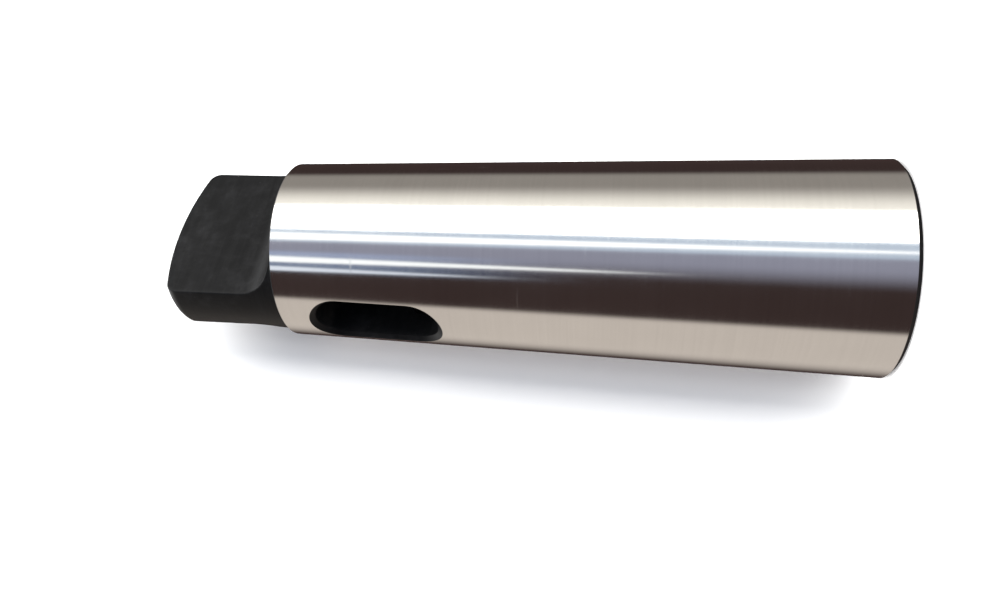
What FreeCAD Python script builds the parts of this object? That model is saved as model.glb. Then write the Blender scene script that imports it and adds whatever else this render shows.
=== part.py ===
import FreeCAD, Part
import math
import os

# Morse taper reduction sleeve: a No. 6 taper outside and a No. 5 taper socket inside, one piece of steel.
# It stands on its large end: the origin is the centre of the large end face, and +Z runs up the axis
# to the tang. The drift slot goes through both walls along X, and the tang's flats face -Y and +Y.
# All sizes are in millimetres and degrees.

# outer taper
overall_length = 217.5
tang_length = 39.0
outer_gauge_diameter = 63.348
outer_gauge_height = 8.0
outer_taper = 1 / 19.180
large_end_chamfer = 1.4
shoulder_chamfer = 0.5

# tang
tang_blank_diameter = 51.0
tang_thickness = 16.8
tang_flat_length = 27.0
cutter_radius = 11.5
tang_dome_radius = 85.0
tang_corner_radius = 4.0
tang_edge_radius = 0.6

# centre hole in the tang's end: a cone for a lathe centre over a pilot hole
centre_cone_diameter = 10.6
centre_cone_angle = 60.0
centre_pilot_diameter = 5.0
centre_pilot_depth = 14.0

# socket
socket_mouth_diameter = 44.399
socket_taper = 1 / 19.002
socket_mouth_chamfer = 1.2
relief_before_slot = 11.6
relief_past_slot_start = 10.0
drill_point_angle = 118.0

# drift slot
slot_to_shoulder = 10.9
slot_length = 38.0
slot_width = 16.4
slot_mouth_chamfer = 1.5

# how far the cutting tools run out of the metal
tool_overrun = 5.0

large_end_diameter = outer_gauge_diameter + outer_gauge_height * outer_taper
shoulder_height = overall_length - tang_length
slot_end_height = shoulder_height - slot_to_shoulder
slot_start_height = slot_end_height - slot_length
slot_centre_height = (slot_start_height + slot_end_height) / 2

centre = FreeCAD.Vector(0, 0, 0)
axis = FreeCAD.Vector(0, 0, 1)


# radius of the ground outer taper at a height above the large end face
def outer_radius(height):
    return (large_end_diameter - height * outer_taper) / 2


# radius of the socket's taper at a depth from the large end face
def socket_radius(depth):
    return (socket_mouth_diameter - depth * socket_taper) / 2


# point of a profile, which is drawn in the YZ plane
def profile_point(across, height):
    return FreeCAD.Vector(0, across, height)


# straight edges through corners given as (across, height)
def straight_edges(corners):
    points = [profile_point(across, height) for across, height in corners]
    return [Part.makeLine(start, end) for start, end in zip(points, points[1:])]


# solid of revolution about the sleeve's axis, from the closed outline of half a section
def turned(edges):
    return Part.Face(Part.Wire(edges)).revolve(centre, axis, 360)


# outer taper from the large end face to the shoulder, before anything is cut into it
def taper_blank():
    chamfer_start = shoulder_height - shoulder_chamfer
    return turned(straight_edges([
        (0, 0),
        (outer_radius(0) - large_end_chamfer, 0),
        (outer_radius(large_end_chamfer), large_end_chamfer),
        (outer_radius(chamfer_start), chamfer_start),
        (outer_radius(chamfer_start) - shoulder_chamfer, shoulder_height),
        (0, shoulder_height),
        (0, 0),
    ]))


# round tang blank with its domed end, whose rim is rounded
def tang_blank():
    blank_radius = tang_blank_diameter / 2
    dome_centre_height = overall_length - tang_dome_radius
    dome_edge_height = dome_centre_height + math.sqrt(tang_dome_radius ** 2 - blank_radius ** 2)
    half_way_angle = math.asin(blank_radius / tang_dome_radius) / 2
    dome = Part.Arc(
        profile_point(blank_radius, dome_edge_height),
        profile_point(
            tang_dome_radius * math.sin(half_way_angle),
            dome_centre_height + tang_dome_radius * math.cos(half_way_angle),
        ),
        profile_point(0, overall_length),
    ).toShape()
    sides = straight_edges([
        (0, overall_length),
        (0, shoulder_height - tool_overrun),
        (blank_radius, shoulder_height - tool_overrun),
        (blank_radius, dome_edge_height),
    ])
    blank = turned(sides + [dome])
    rims = [
        edge for edge in blank.Edges
        if edge.BoundBox.ZLength < 0.001 and abs(edge.BoundBox.ZMax - dome_edge_height) < 0.001
    ]
    return blank.makeFillet(tang_corner_radius, rims)


# metal that a side mill takes off one side of the tang: a flat that ends in the cutter's radius
def flat_cut(side):
    flat = tang_thickness / 2
    outside = tang_blank_diameter / 2 + tool_overrun
    above = overall_length + tool_overrun
    flat_end = overall_length - tang_flat_length
    cutter_bottom = flat_end - cutter_radius
    arc_reach = cutter_radius * math.sin(math.radians(45))
    run_out = Part.Arc(
        profile_point(side * flat, flat_end),
        profile_point(side * (flat + cutter_radius - arc_reach), flat_end - arc_reach),
        profile_point(side * (flat + cutter_radius), cutter_bottom),
    ).toShape()
    sides = straight_edges([
        (side * (flat + cutter_radius), cutter_bottom),
        (side * outside, cutter_bottom),
        (side * outside, above),
        (side * flat, above),
        (side * flat, flat_end),
    ])
    face = Part.Face(Part.Wire([run_out] + sides))
    face.translate(FreeCAD.Vector(-outside, 0, 0))
    return face.extrude(FreeCAD.Vector(2 * outside, 0, 0))


# tang: the round blank with a flat milled on both sides, and the flats' long edges eased
def tang():
    milled = tang_blank().cut(flat_cut(-1)).cut(flat_cut(1))
    half = tang_thickness / 2
    flat_edges = [
        edge for edge in milled.Edges
        if edge.BoundBox.YLength < 0.001 and abs(abs(edge.BoundBox.YMax) - half) < 0.001
        and edge.BoundBox.ZLength > tang_edge_radius
    ]
    return milled.makeFillet(tang_edge_radius, flat_edges)


# cone and pilot hole of the centre in the tang's end
def centre_hole():
    cone_radius = centre_cone_diameter / 2
    pilot_radius = centre_pilot_diameter / 2
    slope = math.tan(math.radians(centre_cone_angle / 2))
    top = overall_length + tool_overrun
    cone_bottom = overall_length - (cone_radius - pilot_radius) / slope
    pilot_bottom = overall_length - centre_pilot_depth
    point_depth = pilot_radius / math.tan(math.radians(drill_point_angle / 2))
    return turned(straight_edges([
        (0, top),
        (cone_radius + tool_overrun * slope, top),
        (pilot_radius, cone_bottom),
        (pilot_radius, pilot_bottom),
        (0, pilot_bottom - point_depth),
        (0, top),
    ]))


# socket: mouth chamfer, taper, and a relief bore as wide as the taper's small end, with its drill point
def socket():
    relief_start = slot_start_height - relief_before_slot
    relief_end = slot_start_height + relief_past_slot_start
    relief_radius = socket_radius(relief_start)
    point_depth = relief_radius / math.tan(math.radians(drill_point_angle / 2))
    return turned(straight_edges([
        (0, -tool_overrun),
        (socket_radius(0) + socket_mouth_chamfer + tool_overrun, -tool_overrun),
        (socket_radius(socket_mouth_chamfer), socket_mouth_chamfer),
        (relief_radius, relief_start),
        (relief_radius, relief_end),
        (0, relief_end + point_depth),
        (0, -tool_overrun),
    ]))


# drift slot with round ends, right through along X
def drift_slot():
    half_width = slot_width / 2
    half_straight = slot_length / 2 - half_width
    reach = large_end_diameter / 2 + tool_overrun
    low = slot_centre_height - half_straight
    high = slot_centre_height + half_straight
    lower_end = Part.Arc(
        profile_point(-half_width, low),
        profile_point(0, low - half_width),
        profile_point(half_width, low),
    ).toShape()
    upper_end = Part.Arc(
        profile_point(half_width, high),
        profile_point(0, high + half_width),
        profile_point(-half_width, high),
    ).toShape()
    right_side = straight_edges([(half_width, low), (half_width, high)])
    left_side = straight_edges([(-half_width, high), (-half_width, low)])
    face = Part.Face(Part.Wire([lower_end] + right_side + [upper_end] + left_side))
    face.translate(FreeCAD.Vector(-reach, 0, 0))
    return face.extrude(FreeCAD.Vector(2 * reach, 0, 0))


# edges where the drift slot opens on the outer taper
def slot_mouth_edges(body):
    mouth = []
    for edge in body.Edges:
        middle = edge.valueAt((edge.FirstParameter + edge.LastParameter) / 2)
        on_taper = abs(math.hypot(middle.x, middle.y) - outer_radius(middle.z)) < 0.01
        beside_slot = abs(middle.z - slot_centre_height) < slot_length / 2 + 0.01
        if on_taper and beside_slot:
            mouth.append(edge)
    return mouth


def sleeve():
    body = taper_blank().fuse(tang()).cut(socket()).cut(drift_slot()).cut(centre_hole())
    body = body.removeSplitter()
    return body.makeChamfer(slot_mouth_chamfer, slot_mouth_edges(body))


os.makedirs("parts", exist_ok=True)
sleeve_body = sleeve()
sleeve_body.exportStep("parts/sleeve_body.step")
print("sleeve_body", sleeve_body.isValid(), round(sleeve_body.Volume / 1000, 2), "cm3", sleeve_body.BoundBox)
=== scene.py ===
import math

import bmesh
import bpy
import numpy as np
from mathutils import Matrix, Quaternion, Vector


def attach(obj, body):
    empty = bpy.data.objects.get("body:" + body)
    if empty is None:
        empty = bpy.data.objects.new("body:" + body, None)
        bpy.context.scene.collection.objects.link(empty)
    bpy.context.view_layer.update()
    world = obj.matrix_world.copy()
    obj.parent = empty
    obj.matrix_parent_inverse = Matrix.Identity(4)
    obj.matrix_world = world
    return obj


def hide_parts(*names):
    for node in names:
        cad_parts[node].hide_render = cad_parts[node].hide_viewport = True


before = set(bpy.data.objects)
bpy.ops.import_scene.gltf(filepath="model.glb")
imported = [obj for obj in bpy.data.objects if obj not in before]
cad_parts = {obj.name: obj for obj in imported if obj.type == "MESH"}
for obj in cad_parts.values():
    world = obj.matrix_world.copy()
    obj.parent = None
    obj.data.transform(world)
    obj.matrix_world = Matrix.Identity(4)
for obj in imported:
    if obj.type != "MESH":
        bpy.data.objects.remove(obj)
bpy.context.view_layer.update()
print("frame loaded")


# a socket of a node tree: sums, products and comparisons of it add Math nodes
class Wire:
    def __init__(self, net, socket):
        self.net = net
        self.socket = socket

    def math(self, operation, *others, clamp=False):
        inputs = dict(enumerate((self, *others)))
        return self.net.add("ShaderNodeMath", {"operation": operation, "use_clamp": clamp}, inputs)

    def __add__(self, other):
        return self.math("ADD", other)

    def __sub__(self, other):
        return self.math("SUBTRACT", other)

    def __rsub__(self, other):
        return self.net.add("ShaderNodeMath", {"operation": "SUBTRACT"}, {0: other, 1: self})

    def __mul__(self, other):
        return self.math("MULTIPLY", other)

    def __truediv__(self, other):
        return self.math("DIVIDE", other)

    def __pow__(self, other):
        return self.math("POWER", other)

    def __neg__(self):
        return self.math("MULTIPLY", -1.0)

    __radd__ = __add__
    __rmul__ = __mul__

    def clamped(self):
        return self.math("ADD", 0.0, clamp=True)

    def step(self, low, high):  # 0 below low, 1 above high, a smooth rise between
        settings = {"interpolation_type": "SMOOTHSTEP"}
        return self.net.add("ShaderNodeMapRange", settings, {0: self, 1: low, 2: high, 3: 0.0, 4: 1.0})


# a node tree that is written from an empty start
class Net:
    def __init__(self, owner):
        owner.use_nodes = True
        self.tree = owner.node_tree
        self.tree.nodes.clear()

    def add(self, kind, settings=None, inputs=None, out=0):
        node = self.tree.nodes.new(kind)
        for name, value in (settings or {}).items():
            if name == "stops":
                self.fillRamp(node.color_ramp, value)
            else:
                setattr(node, name, value)
        for name, value in (inputs or {}).items():
            if isinstance(value, Wire):
                self.tree.links.new(value.socket, node.inputs[name])
            else:
                node.inputs[name].default_value = value
        return Wire(self, node.outputs[out]) if len(node.outputs) else node

    def fillRamp(self, ramp, stops):
        while len(ramp.elements) > 1:
            ramp.elements.remove(ramp.elements[-1])
        for place, (position, colour) in enumerate(stops):
            stop = ramp.elements[0] if place == 0 else ramp.elements.new(position)
            stop.position = position
            stop.color = (*colour, 1.0)

    def mixColour(self, factor, first, second, blend="MIX"):
        settings = {"data_type": "RGBA", "blend_type": blend}
        return self.add("ShaderNodeMix", settings, {0: factor, 6: first, 7: second}, out=2)

    def noise(self, place, scale, detail, rough=0.5):  # a pattern stretched along each axis
        spot = self.add("ShaderNodeMapping", None, {"Vector": place, "Scale": scale})
        inputs = {"Vector": spot, "Scale": 1.0, "Detail": detail, "Roughness": rough}
        return self.add("ShaderNodeTexNoise", None, inputs)

    def axes(self, vector):
        split = self.add("ShaderNodeSeparateXYZ", None, {0: vector})
        return [Wire(self, socket) for socket in split.socket.node.outputs]


cameraPlace = {
    "spot": (-0.157222, -0.206674, 0.075742),
    "aim": (-0.011329, 0.007710, 0.113614),
    "roll": -87.61,  # degrees: the sleeve lies across the picture, tang to the left
    "lens": 30.26,
}


def placeCamera(place):
    data = bpy.data.cameras.new("camera")
    data.lens = place["lens"]
    data.sensor_width = 36
    data.clip_start = 0.01
    camera = bpy.data.objects.new("camera", data)
    bpy.context.scene.collection.objects.link(camera)
    spot = Vector(place["spot"])
    looking = (Vector(place["aim"]) - spot).to_track_quat("-Z", "Y")
    camera.rotation_mode = "QUATERNION"
    camera.rotation_quaternion = looking @ Quaternion((0, 0, 1), math.radians(place["roll"]))
    camera.location = spot
    bpy.context.scene.camera = camera


placeCamera(cameraPlace)
bpy.context.scene.view_settings.view_transform = "Standard"
print("camera placed")

# the studio: long soft panels that run along the sleeve, each at an angle about the axis that is counted
# from the front. A panel is full between its two angles and fades over the degrees given for each side
studio = {
    "front": 234.7,  # degrees: where the angles are counted from
    "room": (0.055, 0.036, 0.034),
    "panels": [  # from, to, fade before, fade after, light, how much it needs light that rises (0 or 1)
        ("table", -74, -122, 8, 40, (0.74, 0.68, 0.61), 0),
        ("coolFill", -2, 26, 24, 3, (0.33, 0.36, 0.47), 0),
        ("skyFill", 10, 25, 4, 2, (0.33, 0.45, 0.52), 0),
        ("lowSky", -26, -8, 8, 5, (0.13, 0.21, 0.36), 1),
        ("softbox", 26, 56, 1.6, 3, (4.4, 4.4, 4.35), 0),
        ("wall", 26, 108, 2, 12, (0.33, 0.32, 0.29), 0),
        ("wallGlow", 40, 60, 2, 32, (1.0, 0.98, 0.9), 0),
    ],
    "strips": [  # angle, width for level light, how the width grows towards the tang, light
        (14.9, 4.8, 9.0, (1.95, 2.0, 2.05)),
        (-15.6, 0.7, 14.0, (1.72, 1.78, 1.8)),
        (-28.0, -2.6, 17.0, (1.25, 1.35, 1.5)),
    ],
    "stripSoftness": 0.6,
    "overhead": 3.0,
}


def lightStudio(look):
    world = bpy.data.worlds.new("studio")
    bpy.context.scene.world = world
    net = Net(world)
    direction = net.add("ShaderNodeTexCoord", None, None, out=0)
    x, y, z = net.axes(direction)
    flat = (x * x + y * y) ** 0.5
    turn = math.radians(look["front"])
    front = x * math.cos(turn) + y * math.sin(turn)
    left = y * math.cos(turn) - x * math.sin(turn)
    angle = left.math("ARCTAN2", front) * (180 / math.pi)
    rise = z / flat.math("MAXIMUM", 0.05)
    rising = rise.step(0.1, 0.42)
    light = (*look["room"], 1.0)
    for name, begin, end, fadeIn, fadeOut, glow, needsRise in look["panels"]:
        low, high = min(begin, end), max(begin, end)
        before, after = (fadeIn, fadeOut) if begin < end else (fadeOut, fadeIn)
        inside = angle.step(low - before, low) * (1 - angle.step(high, high + after))
        if needsRise:
            inside = inside * rising
        light = net.mixColour(inside, light, (*glow, 1.0), blend="ADD")
    for place, width, growth, glow in look["strips"]:
        half = (rise * growth + width) * 0.5
        away = (angle - place).math("ABSOLUTE") - half
        inside = (1 - away.step(-look["stripSoftness"], look["stripSoftness"])) * half.step(0.2, 1.0)
        light = net.mixColour(inside, light, (*glow, 1.0))
    high = z.step(0.62, 0.92)
    light = net.mixColour(high, light, (look["overhead"],) * 3 + (1.0,))
    fromCamera = net.add("ShaderNodeLightPath", None, None, out=0)
    light = net.mixColour(fromCamera, light, (1.0, 1.0, 1.0, 1.0))
    shade = net.add("ShaderNodeBackground", None, {0: light, 1: 1.0})
    net.add("ShaderNodeOutputWorld", None, {0: shade})


lightStudio(studio)

# white boards: the floor that the sleeve stands on, and a sheet that its side touches
boards = {
    "floorSize": 8.0,
    "sheetAngle": 72.7,  # degrees about the axis
    "sheetSize": 3.0,
    "white": 1.0,
    "floorGlow": 0.3,
    "sheetGlow": 0.03,
    "taperSlope": 1 / 19.180 / 2,
    "endRadius": 0.0318825,  # metres
    "clearance": 0.00005,
}


def boardFinish(name, look, glow):
    material = bpy.data.materials.new(name)
    net = Net(material)
    white = net.add("ShaderNodeBsdfDiffuse", None, {0: (look["white"],) * 3 + (1.0,)})
    glow = net.add("ShaderNodeEmission", None, {0: (1.0, 1.0, 1.0, 1.0), 1: glow})
    lit = net.add("ShaderNodeAddShader", None, {0: white, 1: glow})
    clear = net.add("ShaderNodeBsdfTransparent")
    back = net.add("ShaderNodeNewGeometry", None, None, out="Backfacing")
    shade = net.add("ShaderNodeMixShader", None, {0: back, 1: lit, 2: clear})
    net.add("ShaderNodeOutputMaterial", None, {0: shade})
    return material


def makeBoard(name, corners, finish):
    mesh = bpy.data.meshes.new(name)
    mesh.from_pydata([tuple(c) for c in corners], [], [(0, 1, 2, 3)])
    mesh.materials.append(finish)
    board = bpy.data.objects.new(name, mesh)
    bpy.context.scene.collection.objects.link(board)
    board.visible_glossy = False  # the sleeve mirrors the studio only
    board.visible_diffuse = False
    board.visible_shadow = False
    board.visible_transmission = False


half = boards["floorSize"] / 2
makeBoard("floor", [(-half, -half, 0), (half, -half, 0), (half, half, 0), (-half, half, 0)],
          boardFinish("floorWhite", boards, boards["floorGlow"]))

turn = math.radians(boards["sheetAngle"])
outward = np.array([math.cos(turn), math.sin(turn), 0])
side = np.array([-math.sin(turn), math.cos(turn), 0])
slant = np.array([0, 0, 1]) - outward * boards["taperSlope"]
half = boards["sheetSize"] / 2
touch = outward * (boards["endRadius"] + boards["clearance"])
makeBoard("sheet", [touch + side * half, touch - side * half,
                    touch - side * half + slant * half, touch + side * half + slant * half],
          boardFinish("sheetWhite", boards, boards["sheetGlow"]))
print("studio set")


# ground steel: fine lines round the taper, cloudy smudges, pale scuffs by the large end, short scratches
steelLook = {
    "colour": (0.63, 0.62, 0.605),
    "lineScale": (9.0, 9.0, 1500.0),
    "coarseScale": (14.0, 14.0, 260.0),
    "cloudScale": (55.0, 55.0, 38.0),
    "grainScale": (900.0, 900.0, 900.0),
    "scuffScale": (190.0, 190.0, 520.0),
    "streakScale": (260.0, 260.0, 28.0),
    "scratchScale": (30.0, 30.0, 900.0),
    "lineDepth": 0.05,
    "smudge": 0.1,
    "wornColour": (0.8, 0.78, 0.75),
    "bump": 0.05,
    "grind": 0.5,  # how far the grinding lines stretch a highlight
    "roughness": 0.13,
    "scuffTop": 0.026,  # metres over the large end face
}


def groundSteel(name, look):
    material = bpy.data.materials.new(name)
    net = Net(material)
    place = net.add("ShaderNodeTexCoord", None, None, out="Object")
    z = net.axes(place)[2]
    lines = net.noise(place, look["lineScale"], 4.0, 0.7)
    coarse = net.noise(place, look["coarseScale"], 3.0)
    cloud = net.noise(place, look["cloudScale"], 5.0, 0.62)
    grain = net.noise(place, look["grainScale"], 2.0)
    scuff = net.noise(place, look["scuffScale"], 6.0, 0.75).step(0.56, 0.66)
    nearEnd = 1 - z.step(look["scuffTop"] * 0.45, look["scuffTop"])
    streak = net.noise(place, look["streakScale"], 2.0).step(0.735, 0.76)
    scratch = net.noise(place, look["scratchScale"], 1.0).step(0.8, 0.82)
    patch = cloud.step(0.56, 0.72)
    worn = (scuff * nearEnd * patch * 1.4 + streak * 0.5 + scratch * 0.45).clamped()
    tone = 1 + (lines - 0.5) * look["lineDepth"] * 2
    tone = tone + (coarse - 0.5) * 0.05 + (cloud - 0.5) * look["smudge"]
    grey = net.add("ShaderNodeCombineColor", None, {0: tone, 1: tone, 2: tone})
    shade = net.mixColour(1.0, (*look["colour"], 1.0), grey, blend="MULTIPLY")
    shade = net.mixColour(worn * 0.55, shade, (*look["wornColour"], 1.0))
    roughness = (lines - 0.5) * 0.06 + (cloud - 0.5) * 0.08 + worn * 0.22 + look["roughness"]
    height = lines * 0.6 + coarse * 0.3 + grain * 0.1 - worn * 0.3
    bump = net.add("ShaderNodeBump", None, {"Strength": look["bump"], "Distance": 0.0002, "Height": height})
    steel = net.add("ShaderNodeBsdfPrincipled", None, {
        "Base Color": shade, "Metallic": 1.0, "Roughness": roughness, "Normal": bump,
        "Anisotropic": look["grind"], "Anisotropic Rotation": 0.25,
    })
    net.add("ShaderNodeOutputMaterial", None, {0: steel})
    return material


# black oxide: near black and satin, mottled, paler in rubbed patches along the cutter's marks and in specks
oxideLook = {
    "colour": (0.0065, 0.0067, 0.0072),
    "rubbed": (0.03, 0.03, 0.032),
    "roughness": 0.38,
    "ior": 1.17,
    "mottleScale": (180.0, 180.0, 180.0),
    "markScale": (60.0, 60.0, 700.0),
    "speckScale": (700.0, 700.0, 700.0),
    "bump": 0.25,
}


def blackOxide(look):
    material = bpy.data.materials.new("blackOxide")
    net = Net(material)
    place = net.add("ShaderNodeTexCoord", None, None, out="Object")

    mottle = net.noise(place, look["mottleScale"], 6.0, 0.65)
    marks = net.noise(place, look["markScale"], 3.0, 0.6)
    speck = net.noise(place, look["speckScale"], 2.0).step(0.7, 0.78)
    rubbed = (mottle.step(0.42, 0.8) * 0.35 + (marks - 0.4) * 0.3 + speck * 0.35).clamped()
    shade = net.mixColour(rubbed, (*look["colour"], 1.0), (*look["rubbed"], 1.0))
    roughness = (mottle - 0.5) * 0.25 + (marks - 0.5) * 0.1 + look["roughness"]
    height = mottle * 0.6 + marks * 0.4
    bump = net.add("ShaderNodeBump", None, {"Strength": look["bump"], "Distance": 0.0002, "Height": height})
    black = net.add("ShaderNodeBsdfPrincipled", None, {
        "Base Color": shade, "Metallic": 0.0, "Roughness": roughness, "Normal": bump,
        "IOR": look["ior"],
    })
    net.add("ShaderNodeOutputMaterial", None, {0: black})
    return material


# the sleeve's sizes in millimetres and degrees, the same as the solid's
sleeve = {
    "endDiameter": 63.348 + 8 / 19.180,
    "taper": 1 / 19.180,
    "rimChamfer": 1.4,
    "shoulder": 178.5,
    "shoulderChamfer": 0.5,
    "socketDiameter": 44.399,
    "socketTaper": 1 / 19.002,
    "socketChamfer": 1.2,
    "socketMouthRadius": 23.3743,
    "reliefStart": 118.0,
    "reliefEnd": 139.6,
    "drillPoint": 118.0,
    "slotMiddle": 148.6,
    "slotLength": 38.0,
    "slotWidth": 16.4,
    "slotChamfer": 1.5,
    "tangRadius": 25.5,
    "tangTop": 217.5,
    "tangHalf": 8.4,
    "flatLength": 27.0,
    "cutterRadius": 11.5,
    "domeRadius": 85.0,
    "cornerRadius": 4.0,
    "edgeRadius": 0.6,
    "runOutEdge": 0.2,
    "centreCone": 10.6,
    "centreAngle": 60.0,
    "domeSquare": 8.0,  # half the side of the square round the centre hole
    "centrePilot": 5.0,
    "centreDepth": 14.0,
    "around": 256,  # cells round the axis
    "slotCells": 20,  # of those, how many on each side of a slot's middle belong to its frame
    "frameLow": 125.0,
    "frameHigh": 173.0,
}


def outerRadius(height):
    return (sleeve["endDiameter"] - height * sleeve["taper"]) / 2


def socketRadius(depth):
    return (sleeve["socketDiameter"] - depth * sleeve["socketTaper"]) / 2


# radius of the relief bore and of the drill point over it, never below nothing
def boreRadius(height):
    fall = math.tan(math.radians(sleeve["drillPoint"] / 2))
    widest = socketRadius(sleeve["reliefStart"])
    return np.maximum(widest - np.maximum(height - sleeve["reliefEnd"], 0) * fall, 0)


# patches of the skin: each is a grid of points (rows, columns, 3) with the number of its finish
class Skin:
    def __init__(self):
        self.points = []
        self.faces = []
        self.finishes = []
        self.count = 0

    # quads between neighbouring rows and columns; a closed grid also joins its last column to its first
    def add(self, grid, finish, closed=False):
        rows, columns = grid.shape[:2]
        index = np.arange(rows * columns).reshape(rows, columns) + self.count
        if closed:
            index = np.concatenate([index, index[:, :1]], axis=1)
        quads = np.stack([index[:-1, :-1], index[:-1, 1:], index[1:, 1:], index[1:, :-1]], axis=-1)
        self.points.append(grid.reshape(-1, 3))
        self.faces.append(quads.reshape(-1, 4))
        self.finishes.append(np.full(len(quads.reshape(-1, 4)), finish))
        self.count += rows * columns

    # the patch and its copy turned half way round the axis
    def addPair(self, grid, finish, closed=False):
        self.add(grid, finish, closed)
        self.add(grid * np.array([-1, -1, 1]), finish, closed)


def grid3(x, y, z):
    return np.stack(np.broadcast_arrays(x, y, z), axis=-1).astype(float)


# profile of (radius, height) pairs turned through the angles: (r cos a, r sin a, h)
def turned(profile, angles):
    radius, height = np.array(profile, float).T[:, :, None]
    return grid3(radius * np.cos(angles), radius * np.sin(angles), height)


outside, black, inside = 0, 1, 2


# everything that a lathe makes below the slots: relief, socket, its chamfer, end face, rim, outer taper
def addTurnedWalls(skin, ring):
    s = sleeve
    slotFoot = s["slotMiddle"] - s["slotLength"] / 2
    reliefRadius = socketRadius(s["reliefStart"])
    skin.add(turned([(reliefRadius, slotFoot), (reliefRadius, s["reliefStart"])], ring), black, True)
    depths = np.linspace(s["reliefStart"], s["socketChamfer"], 13)
    skin.add(turned(np.stack([socketRadius(depths), depths], 1), ring), inside, True)
    mouth = s["socketMouthRadius"]
    rim = outerRadius(0) - s["rimChamfer"]
    chamferEnd = (socketRadius(s["socketChamfer"]), s["socketChamfer"])
    skin.add(turned([chamferEnd, (mouth, 0)], ring), black, True)
    skin.add(turned([(mouth, 0), (mouth * 0.5 + rim * 0.5, 0), (rim, 0)], ring), black, True)
    skin.add(turned([(rim, 0), (outerRadius(s["rimChamfer"]), s["rimChamfer"])], ring), black, True)
    heights = np.linspace(s["rimChamfer"], s["frameLow"], 26)
    skin.add(turned(np.stack([outerRadius(heights), heights], 1), ring), outside, True)
    low = s["shoulder"] - s["shoulderChamfer"]
    heights = np.linspace(s["frameHigh"], low, 3)
    skin.add(turned(np.stack([outerRadius(heights), heights], 1), ring), outside, True)
    top = [(outerRadius(low), low), (outerRadius(low) - s["shoulderChamfer"], s["shoulder"])]
    skin.add(turned(top, ring), black, True)


# one side of the drift slot and the taper round it. Each point of the frame's border is joined to the
# slot's outline along the line to the nearest point of the slot's middle line
def addSlotSide(skin, ring):
    s = sleeve
    radius = s["slotWidth"] / 2
    low = s["slotMiddle"] - s["slotLength"] / 2 + radius
    high = s["slotMiddle"] + s["slotLength"] / 2 - radius
    fall = math.tan(math.radians(s["drillPoint"] / 2))
    closes = s["reliefEnd"] + (socketRadius(s["reliefStart"]) - radius) / fall  # bore as narrow as the slot
    sides = np.concatenate([
        np.linspace(s["frameLow"], low, 7)[:-1],
        np.array([low, s["reliefEnd"]]),
        np.linspace(s["reliefEnd"], closes, 5)[1:-1],
        np.linspace(closes, high, 7)[:-1],
        np.linspace(high, s["frameHigh"], 7),
    ])
    edge = s["slotCells"] * 2 * math.pi / s["around"]
    across = np.linspace(-edge, edge, 2 * s["slotCells"] + 1)
    right = np.full(len(sides) - 1, edge)
    angle = np.concatenate([across[:-1], right, across[:0:-1], -right])
    height = np.concatenate([
        np.full(len(across) - 1, s["frameLow"]), sides[:-1],
        np.full(len(across) - 1, s["frameHigh"]), sides[:0:-1],
    ])
    border = np.stack([outerRadius(height) * np.sin(angle), height], 1)
    middle = np.stack([np.zeros(len(height)), np.clip(height, low, high)], 1)
    away = (border - middle) / np.linalg.norm(border - middle, axis=1)[:, None]
    outline = middle + away * radius
    reach = np.sqrt(outerRadius(outline[:, 1]) ** 2 - outline[:, 0] ** 2)
    slope = outline[:, 0] * away[:, 0] / reach
    rim = middle + away * (radius + s["slotChamfer"] / np.sqrt(1 + slope ** 2))[:, None]

    share = np.linspace(0, 1, 8)[:, None, None] ** 1.3
    spread = rim + (border - rim) * share
    reachOut = np.sqrt(outerRadius(spread[..., 1]) ** 2 - spread[..., 0] ** 2)
    skin.addPair(grid3(reachOut, spread[..., 0], spread[..., 1]), outside, True)
    share = np.linspace(0, 1, 4)[:, None]
    onRim = np.sqrt(outerRadius(rim[:, 1]) ** 2 - rim[:, 0] ** 2)
    lip = rim + (outline - rim) * share[..., None]
    start = reach - s["slotChamfer"]
    skin.addPair(grid3(onRim + (start - onRim) * share, lip[..., 0], lip[..., 1]), black, True)
    inner = np.sqrt(np.maximum(boreRadius(outline[:, 1]) ** 2 - outline[:, 0] ** 2, 0))
    share = np.linspace(0, 1, 9)[:, None]
    skin.addPair(grid3(start + (inner - start) * share, outline[:, 0], outline[:, 1]), black, True)

    # bore between the two openings: at each height of the outline an arc from one slot wall to the other
    last = len(across) - 1 + int(np.argmin(abs(sides - closes)))
    foot = outline[s["slotCells"]:last + 1]
    bore = boreRadius(foot[:, 1])[:, None]
    begin = np.arcsin(np.clip(foot[:, :1] / bore, 0, 1))
    begin[-1] = math.pi / 2
    turn = begin + (math.pi - 2 * begin) * np.linspace(0, 1, s["around"] // 2 + 1)
    skin.addPair(grid3(bore * np.cos(turn), bore * np.sin(turn), foot[:, 1:]), black)

    # outer taper between the two frames
    turn = np.linspace(edge, math.pi - edge, s["around"] // 2 - 2 * s["slotCells"] + 1)
    skin.addPair(turned(np.stack([outerRadius(sides), sides], 1), turn), outside)


# half of a tang loop: across the edge band, over the eased edge, along the flat and down the other edge.
# The eased edge is the track of a ball that touches the band and the flat
bandCells, easeCells, flatCells = 72, 6, 44


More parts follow.
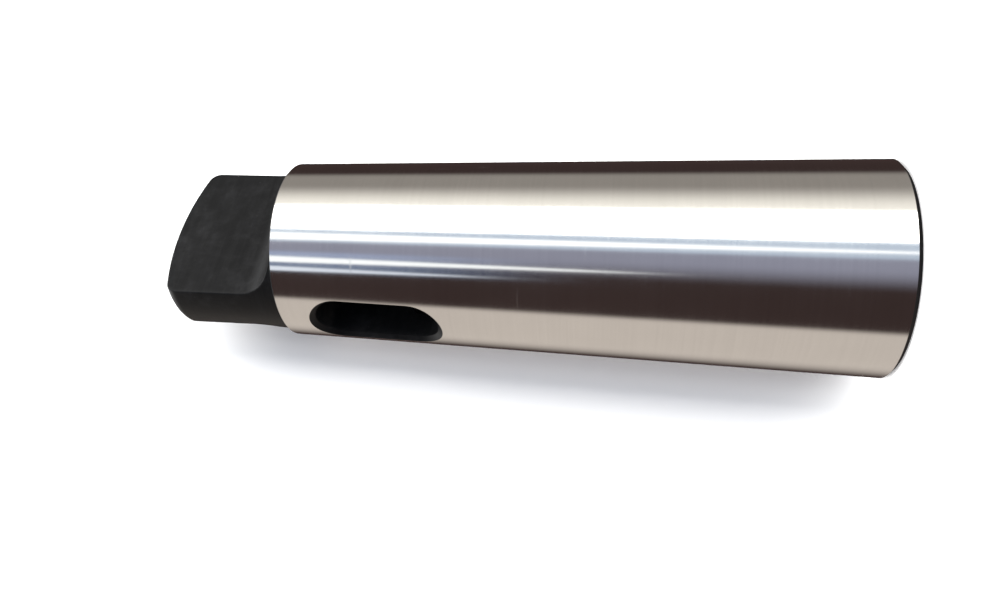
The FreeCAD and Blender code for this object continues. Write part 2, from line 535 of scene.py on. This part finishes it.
def tangHalfLoop(radius, height, normal, half, ease, dome=None):
    s = sleeve
    domeCentre = s["tangTop"] - s["domeRadius"]
    ballY = half - ease
    if dome is None:
        ballRadius = radius - ease * normal[0]
        ballX = math.sqrt(ballRadius ** 2 - ballY ** 2)
        ballZ = height - ease * normal[1]
        outward = np.array([normal[0] * ballX / ballRadius, normal[0] * ballY / ballRadius, normal[1]])
    else:
        ballX = radius * dome
        ballZ = domeCentre + math.sqrt((s["domeRadius"] - ease) ** 2 - ballX ** 2 - ballY ** 2)
        outward = np.array([ballX, ballY, ballZ - domeCentre]) / (s["domeRadius"] - ease)
    ball = np.array([ballX, ballY, ballZ])
    touch = ball + outward * ease
    v = np.linspace(-1, 1, bandCells + 1)
    if dome is None:
        turn = v * math.atan2(touch[1], touch[0])
        band = grid3(radius * np.cos(turn), radius * np.sin(turn), height)
    else:
        x = radius + (touch[0] - radius) * v ** 2
        y = touch[1] * v
        band = grid3(x, y, domeCentre + np.sqrt(s["domeRadius"] ** 2 - x ** 2 - y ** 2))
    across = np.array([0.0, 1.0, 0.0])
    opening = math.acos(float(outward @ across))
    share = np.linspace(0, 1, easeCells + 1)[:, None]
    direction = np.sin((1 - share) * opening) * outward + np.sin(share * opening) * across
    direction = direction / math.sin(opening)
    eased = ball + ease * direction
    flat = grid3(np.linspace(ballX, -ballX, flatCells + 1), half, ballZ)
    mirrored = (eased * np.array([-1, 1, 1]))[::-1]
    return np.concatenate([band[:-1], eased[:-1], flat[:-1], mirrored])


# whole loop: the half loop and its copy turned half way round
def tangLoop(*values, **options):
    half = tangHalfLoop(*values, **options)[:-1]
    return np.concatenate([half, half * np.array([-1, -1, 1])])


def addTang(skin, ring):
    s = sleeve
    radius, flat, ease = s["tangRadius"], s["tangHalf"], s["edgeRadius"]
    flatEnd = s["tangTop"] - s["flatLength"]
    domeCentre = s["tangTop"] - s["domeRadius"]
    loops = []
    for angle in np.radians(np.linspace(90, 0, 13)):  # the side mill's run-out, from its foot to the flat
        half = flat + s["cutterRadius"] * (1 - math.cos(angle))
        edge = s["runOutEdge"] + (ease - s["runOutEdge"]) * math.cos(angle)
        loops.append(tangLoop(radius, flatEnd - s["cutterRadius"] * math.sin(angle), (1, 0), half, edge))
    foot = loops[0]
    cornerX = radius - s["cornerRadius"]
    cornerZ = domeCentre + math.sqrt((s["domeRadius"] - s["cornerRadius"]) ** 2 - cornerX ** 2)
    for height in np.linspace(flatEnd, cornerZ, 7)[1:]:
        loops.append(tangLoop(radius, height, (1, 0), flat, ease))
    leaves = math.atan2(cornerZ - domeCentre, cornerX)
    for angle in np.linspace(0, leaves, 10)[1:]:
        normal = (math.cos(angle), math.sin(angle))
        place = (cornerX + s["cornerRadius"] * normal[0], cornerZ + s["cornerRadius"] * normal[1])
        loops.append(tangLoop(*place, normal, flat, ease))
    ballEdge = loops[-1][bandCells + easeCells]
    domeEdge = s["domeRadius"] * cornerX / (s["domeRadius"] - s["cornerRadius"])
    spread = ballEdge[0] / domeEdge
    square = s["domeSquare"]
    for reach in np.linspace(domeEdge, square, 8)[1:]:
        loops.append(tangLoop(reach, 0, (0, 1), flat, ease, dome=spread))
    skin.add(np.stack(loops), black, True)

    # shoulder: from the taper's even spacing to the tang's own, then up the wall to the run-out's foot
    start = math.atan2(foot[bandCells, 1], foot[bandCells, 0])
    band = np.linspace(-start, start, bandCells + 1)[:-1]
    rest = np.linspace(start, math.pi - start, s["around"] // 2 - bandCells + 1)[:-1]
    turn = np.concatenate([band, rest, band + math.pi, rest + math.pi])
    even = ring - ring[bandCells // 2]
    shoulderRadius = outerRadius(s["shoulder"] - s["shoulderChamfer"]) - s["shoulderChamfer"]
    wall = foot[0, 2]
    skin.add(np.stack([
        turned([(shoulderRadius, s["shoulder"])], even)[0],
        turned([(radius, s["shoulder"])], turn)[0],
        turned([(radius, wall)], turn)[0],
        foot,
    ]), black, True)

    # the rest of the eased edges and the flats, up to the middle of the dome
    reaches = np.linspace(square, 0, 9)
    halves = [tangHalfLoop(reach, 0, (0, 1), flat, ease, dome=spread) for reach in reaches]
    halves[-1][bandCells:, 0] = 0
    halves = np.stack(halves)
    skin.addPair(halves[:, bandCells:], black)

    # middle of the dome round the centre hole, then the hole: cone, pilot and drill point
    side = halves[0, :bandCells]
    topEdge = np.concatenate([halves[:-1, bandCells], halves[:0:-1, bandCells] * np.array([-1, 1, 1])])
    border = np.concatenate([side, topEdge])
    border = np.concatenate([border, border * np.array([-1, -1, 1])])
    turn = np.arctan2(border[:, 1], border[:, 0])
    cone = math.tan(math.radians(s["centreAngle"] / 2))
    mouth = s["centreCone"] / 2
    for _ in range(20):  # where the cone meets the dome
        drop = s["domeRadius"] - math.sqrt(s["domeRadius"] ** 2 - mouth ** 2)
        mouth = s["centreCone"] / 2 - cone * drop
    hole = mouth * np.stack([np.cos(turn), np.sin(turn)], 1)
    share = np.linspace(0, 1, 6)[:, None, None]
    spot = border[:, :2] + (hole - border[:, :2]) * share
    dome = domeCentre + np.sqrt(s["domeRadius"] ** 2 - (spot ** 2).sum(-1))
    skin.add(grid3(spot[..., 0], spot[..., 1], dome), black, True)
    pilot = s["centrePilot"] / 2
    floor = s["tangTop"] - s["centreDepth"]
    point = floor - pilot / math.tan(math.radians(s["drillPoint"] / 2))
    skin.add(turned([
        (mouth, dome[-1, 0]), (pilot, s["tangTop"] - (s["centreCone"] / 2 - pilot) / cone),
        (pilot, floor), (0, point),
    ], turn), black, True)


def makeSleeve(finishes):
    skin = Skin()
    ring = np.arange(sleeve["around"]) * 2 * math.pi / sleeve["around"]
    addTurnedWalls(skin, ring)
    addSlotSide(skin, ring)
    addTang(skin, ring)
    mesh = bpy.data.meshes.new("sleeveSkin")
    mesh.from_pydata(np.concatenate(skin.points) * 0.001, [], np.concatenate(skin.faces).tolist())
    for finish in finishes:
        mesh.materials.append(finish)
    mesh.polygons.foreach_set("material_index", np.concatenate(skin.finishes).astype(np.int32))
    work = bmesh.new()
    work.from_mesh(mesh)
    bmesh.ops.remove_doubles(work, verts=work.verts, dist=1e-6)
    bmesh.ops.recalc_face_normals(work, faces=work.faces)
    loose = sum(not edge.is_manifold for edge in work.edges)
    volume = round(work.calc_volume() * 1e6, 2)
    print("sleeve skin:", len(work.faces), "faces,", loose, "open edges,", volume, "cm3")
    work.to_mesh(mesh)
    work.free()
    mesh.polygons.foreach_set("use_smooth", np.ones(len(mesh.polygons), bool))
    mesh.set_sharp_from_angle(angle=math.radians(24))
    piece = bpy.data.objects.new("sleeveSkin", mesh)
    bpy.context.scene.collection.objects.link(piece)
    steadyTaper(mesh)
    return piece


# normals square to the taper on the outer taper and the socket, so that light runs straight past the slots
def steadyTaper(mesh):
    loops = len(mesh.loops)
    normals = np.zeros(loops * 3)
    mesh.corner_normals.foreach_get("vector", normals)
    normals = normals.reshape(-1, 3)
    vertex = np.zeros(loops, np.int32)
    mesh.loops.foreach_get("vertex_index", vertex)
    spots = np.zeros(len(mesh.vertices) * 3)
    mesh.vertices.foreach_get("co", spots)
    spots = spots.reshape(-1, 3)[vertex]
    finish = np.zeros(len(mesh.polygons), np.int32)
    mesh.polygons.foreach_get("material_index", finish)
    sizes = np.zeros(len(mesh.polygons), np.int32)
    mesh.polygons.foreach_get("loop_total", sizes)
    finish = np.repeat(finish, sizes)
    tilt = math.atan(sleeve["taper"] / 2)
    reach = np.hypot(spots[:, 0], spots[:, 1])[:, None]
    up = np.full((loops, 1), math.sin(tilt))
    outward = np.concatenate([spots[:, :2] / reach * math.cos(tilt), up], 1)
    normals = np.where((finish == outside)[:, None], outward, normals)
    normals = np.where((finish == inside)[:, None], -outward, normals)
    mesh.normals_split_custom_set(normals)


steel = groundSteel("groundSteel", steelLook)
sleeveSkin = makeSleeve([steel, blackOxide(oxideLook), steel])
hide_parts("sleeve_body")
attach(sleeveSkin, "root")
print("sleeve made")
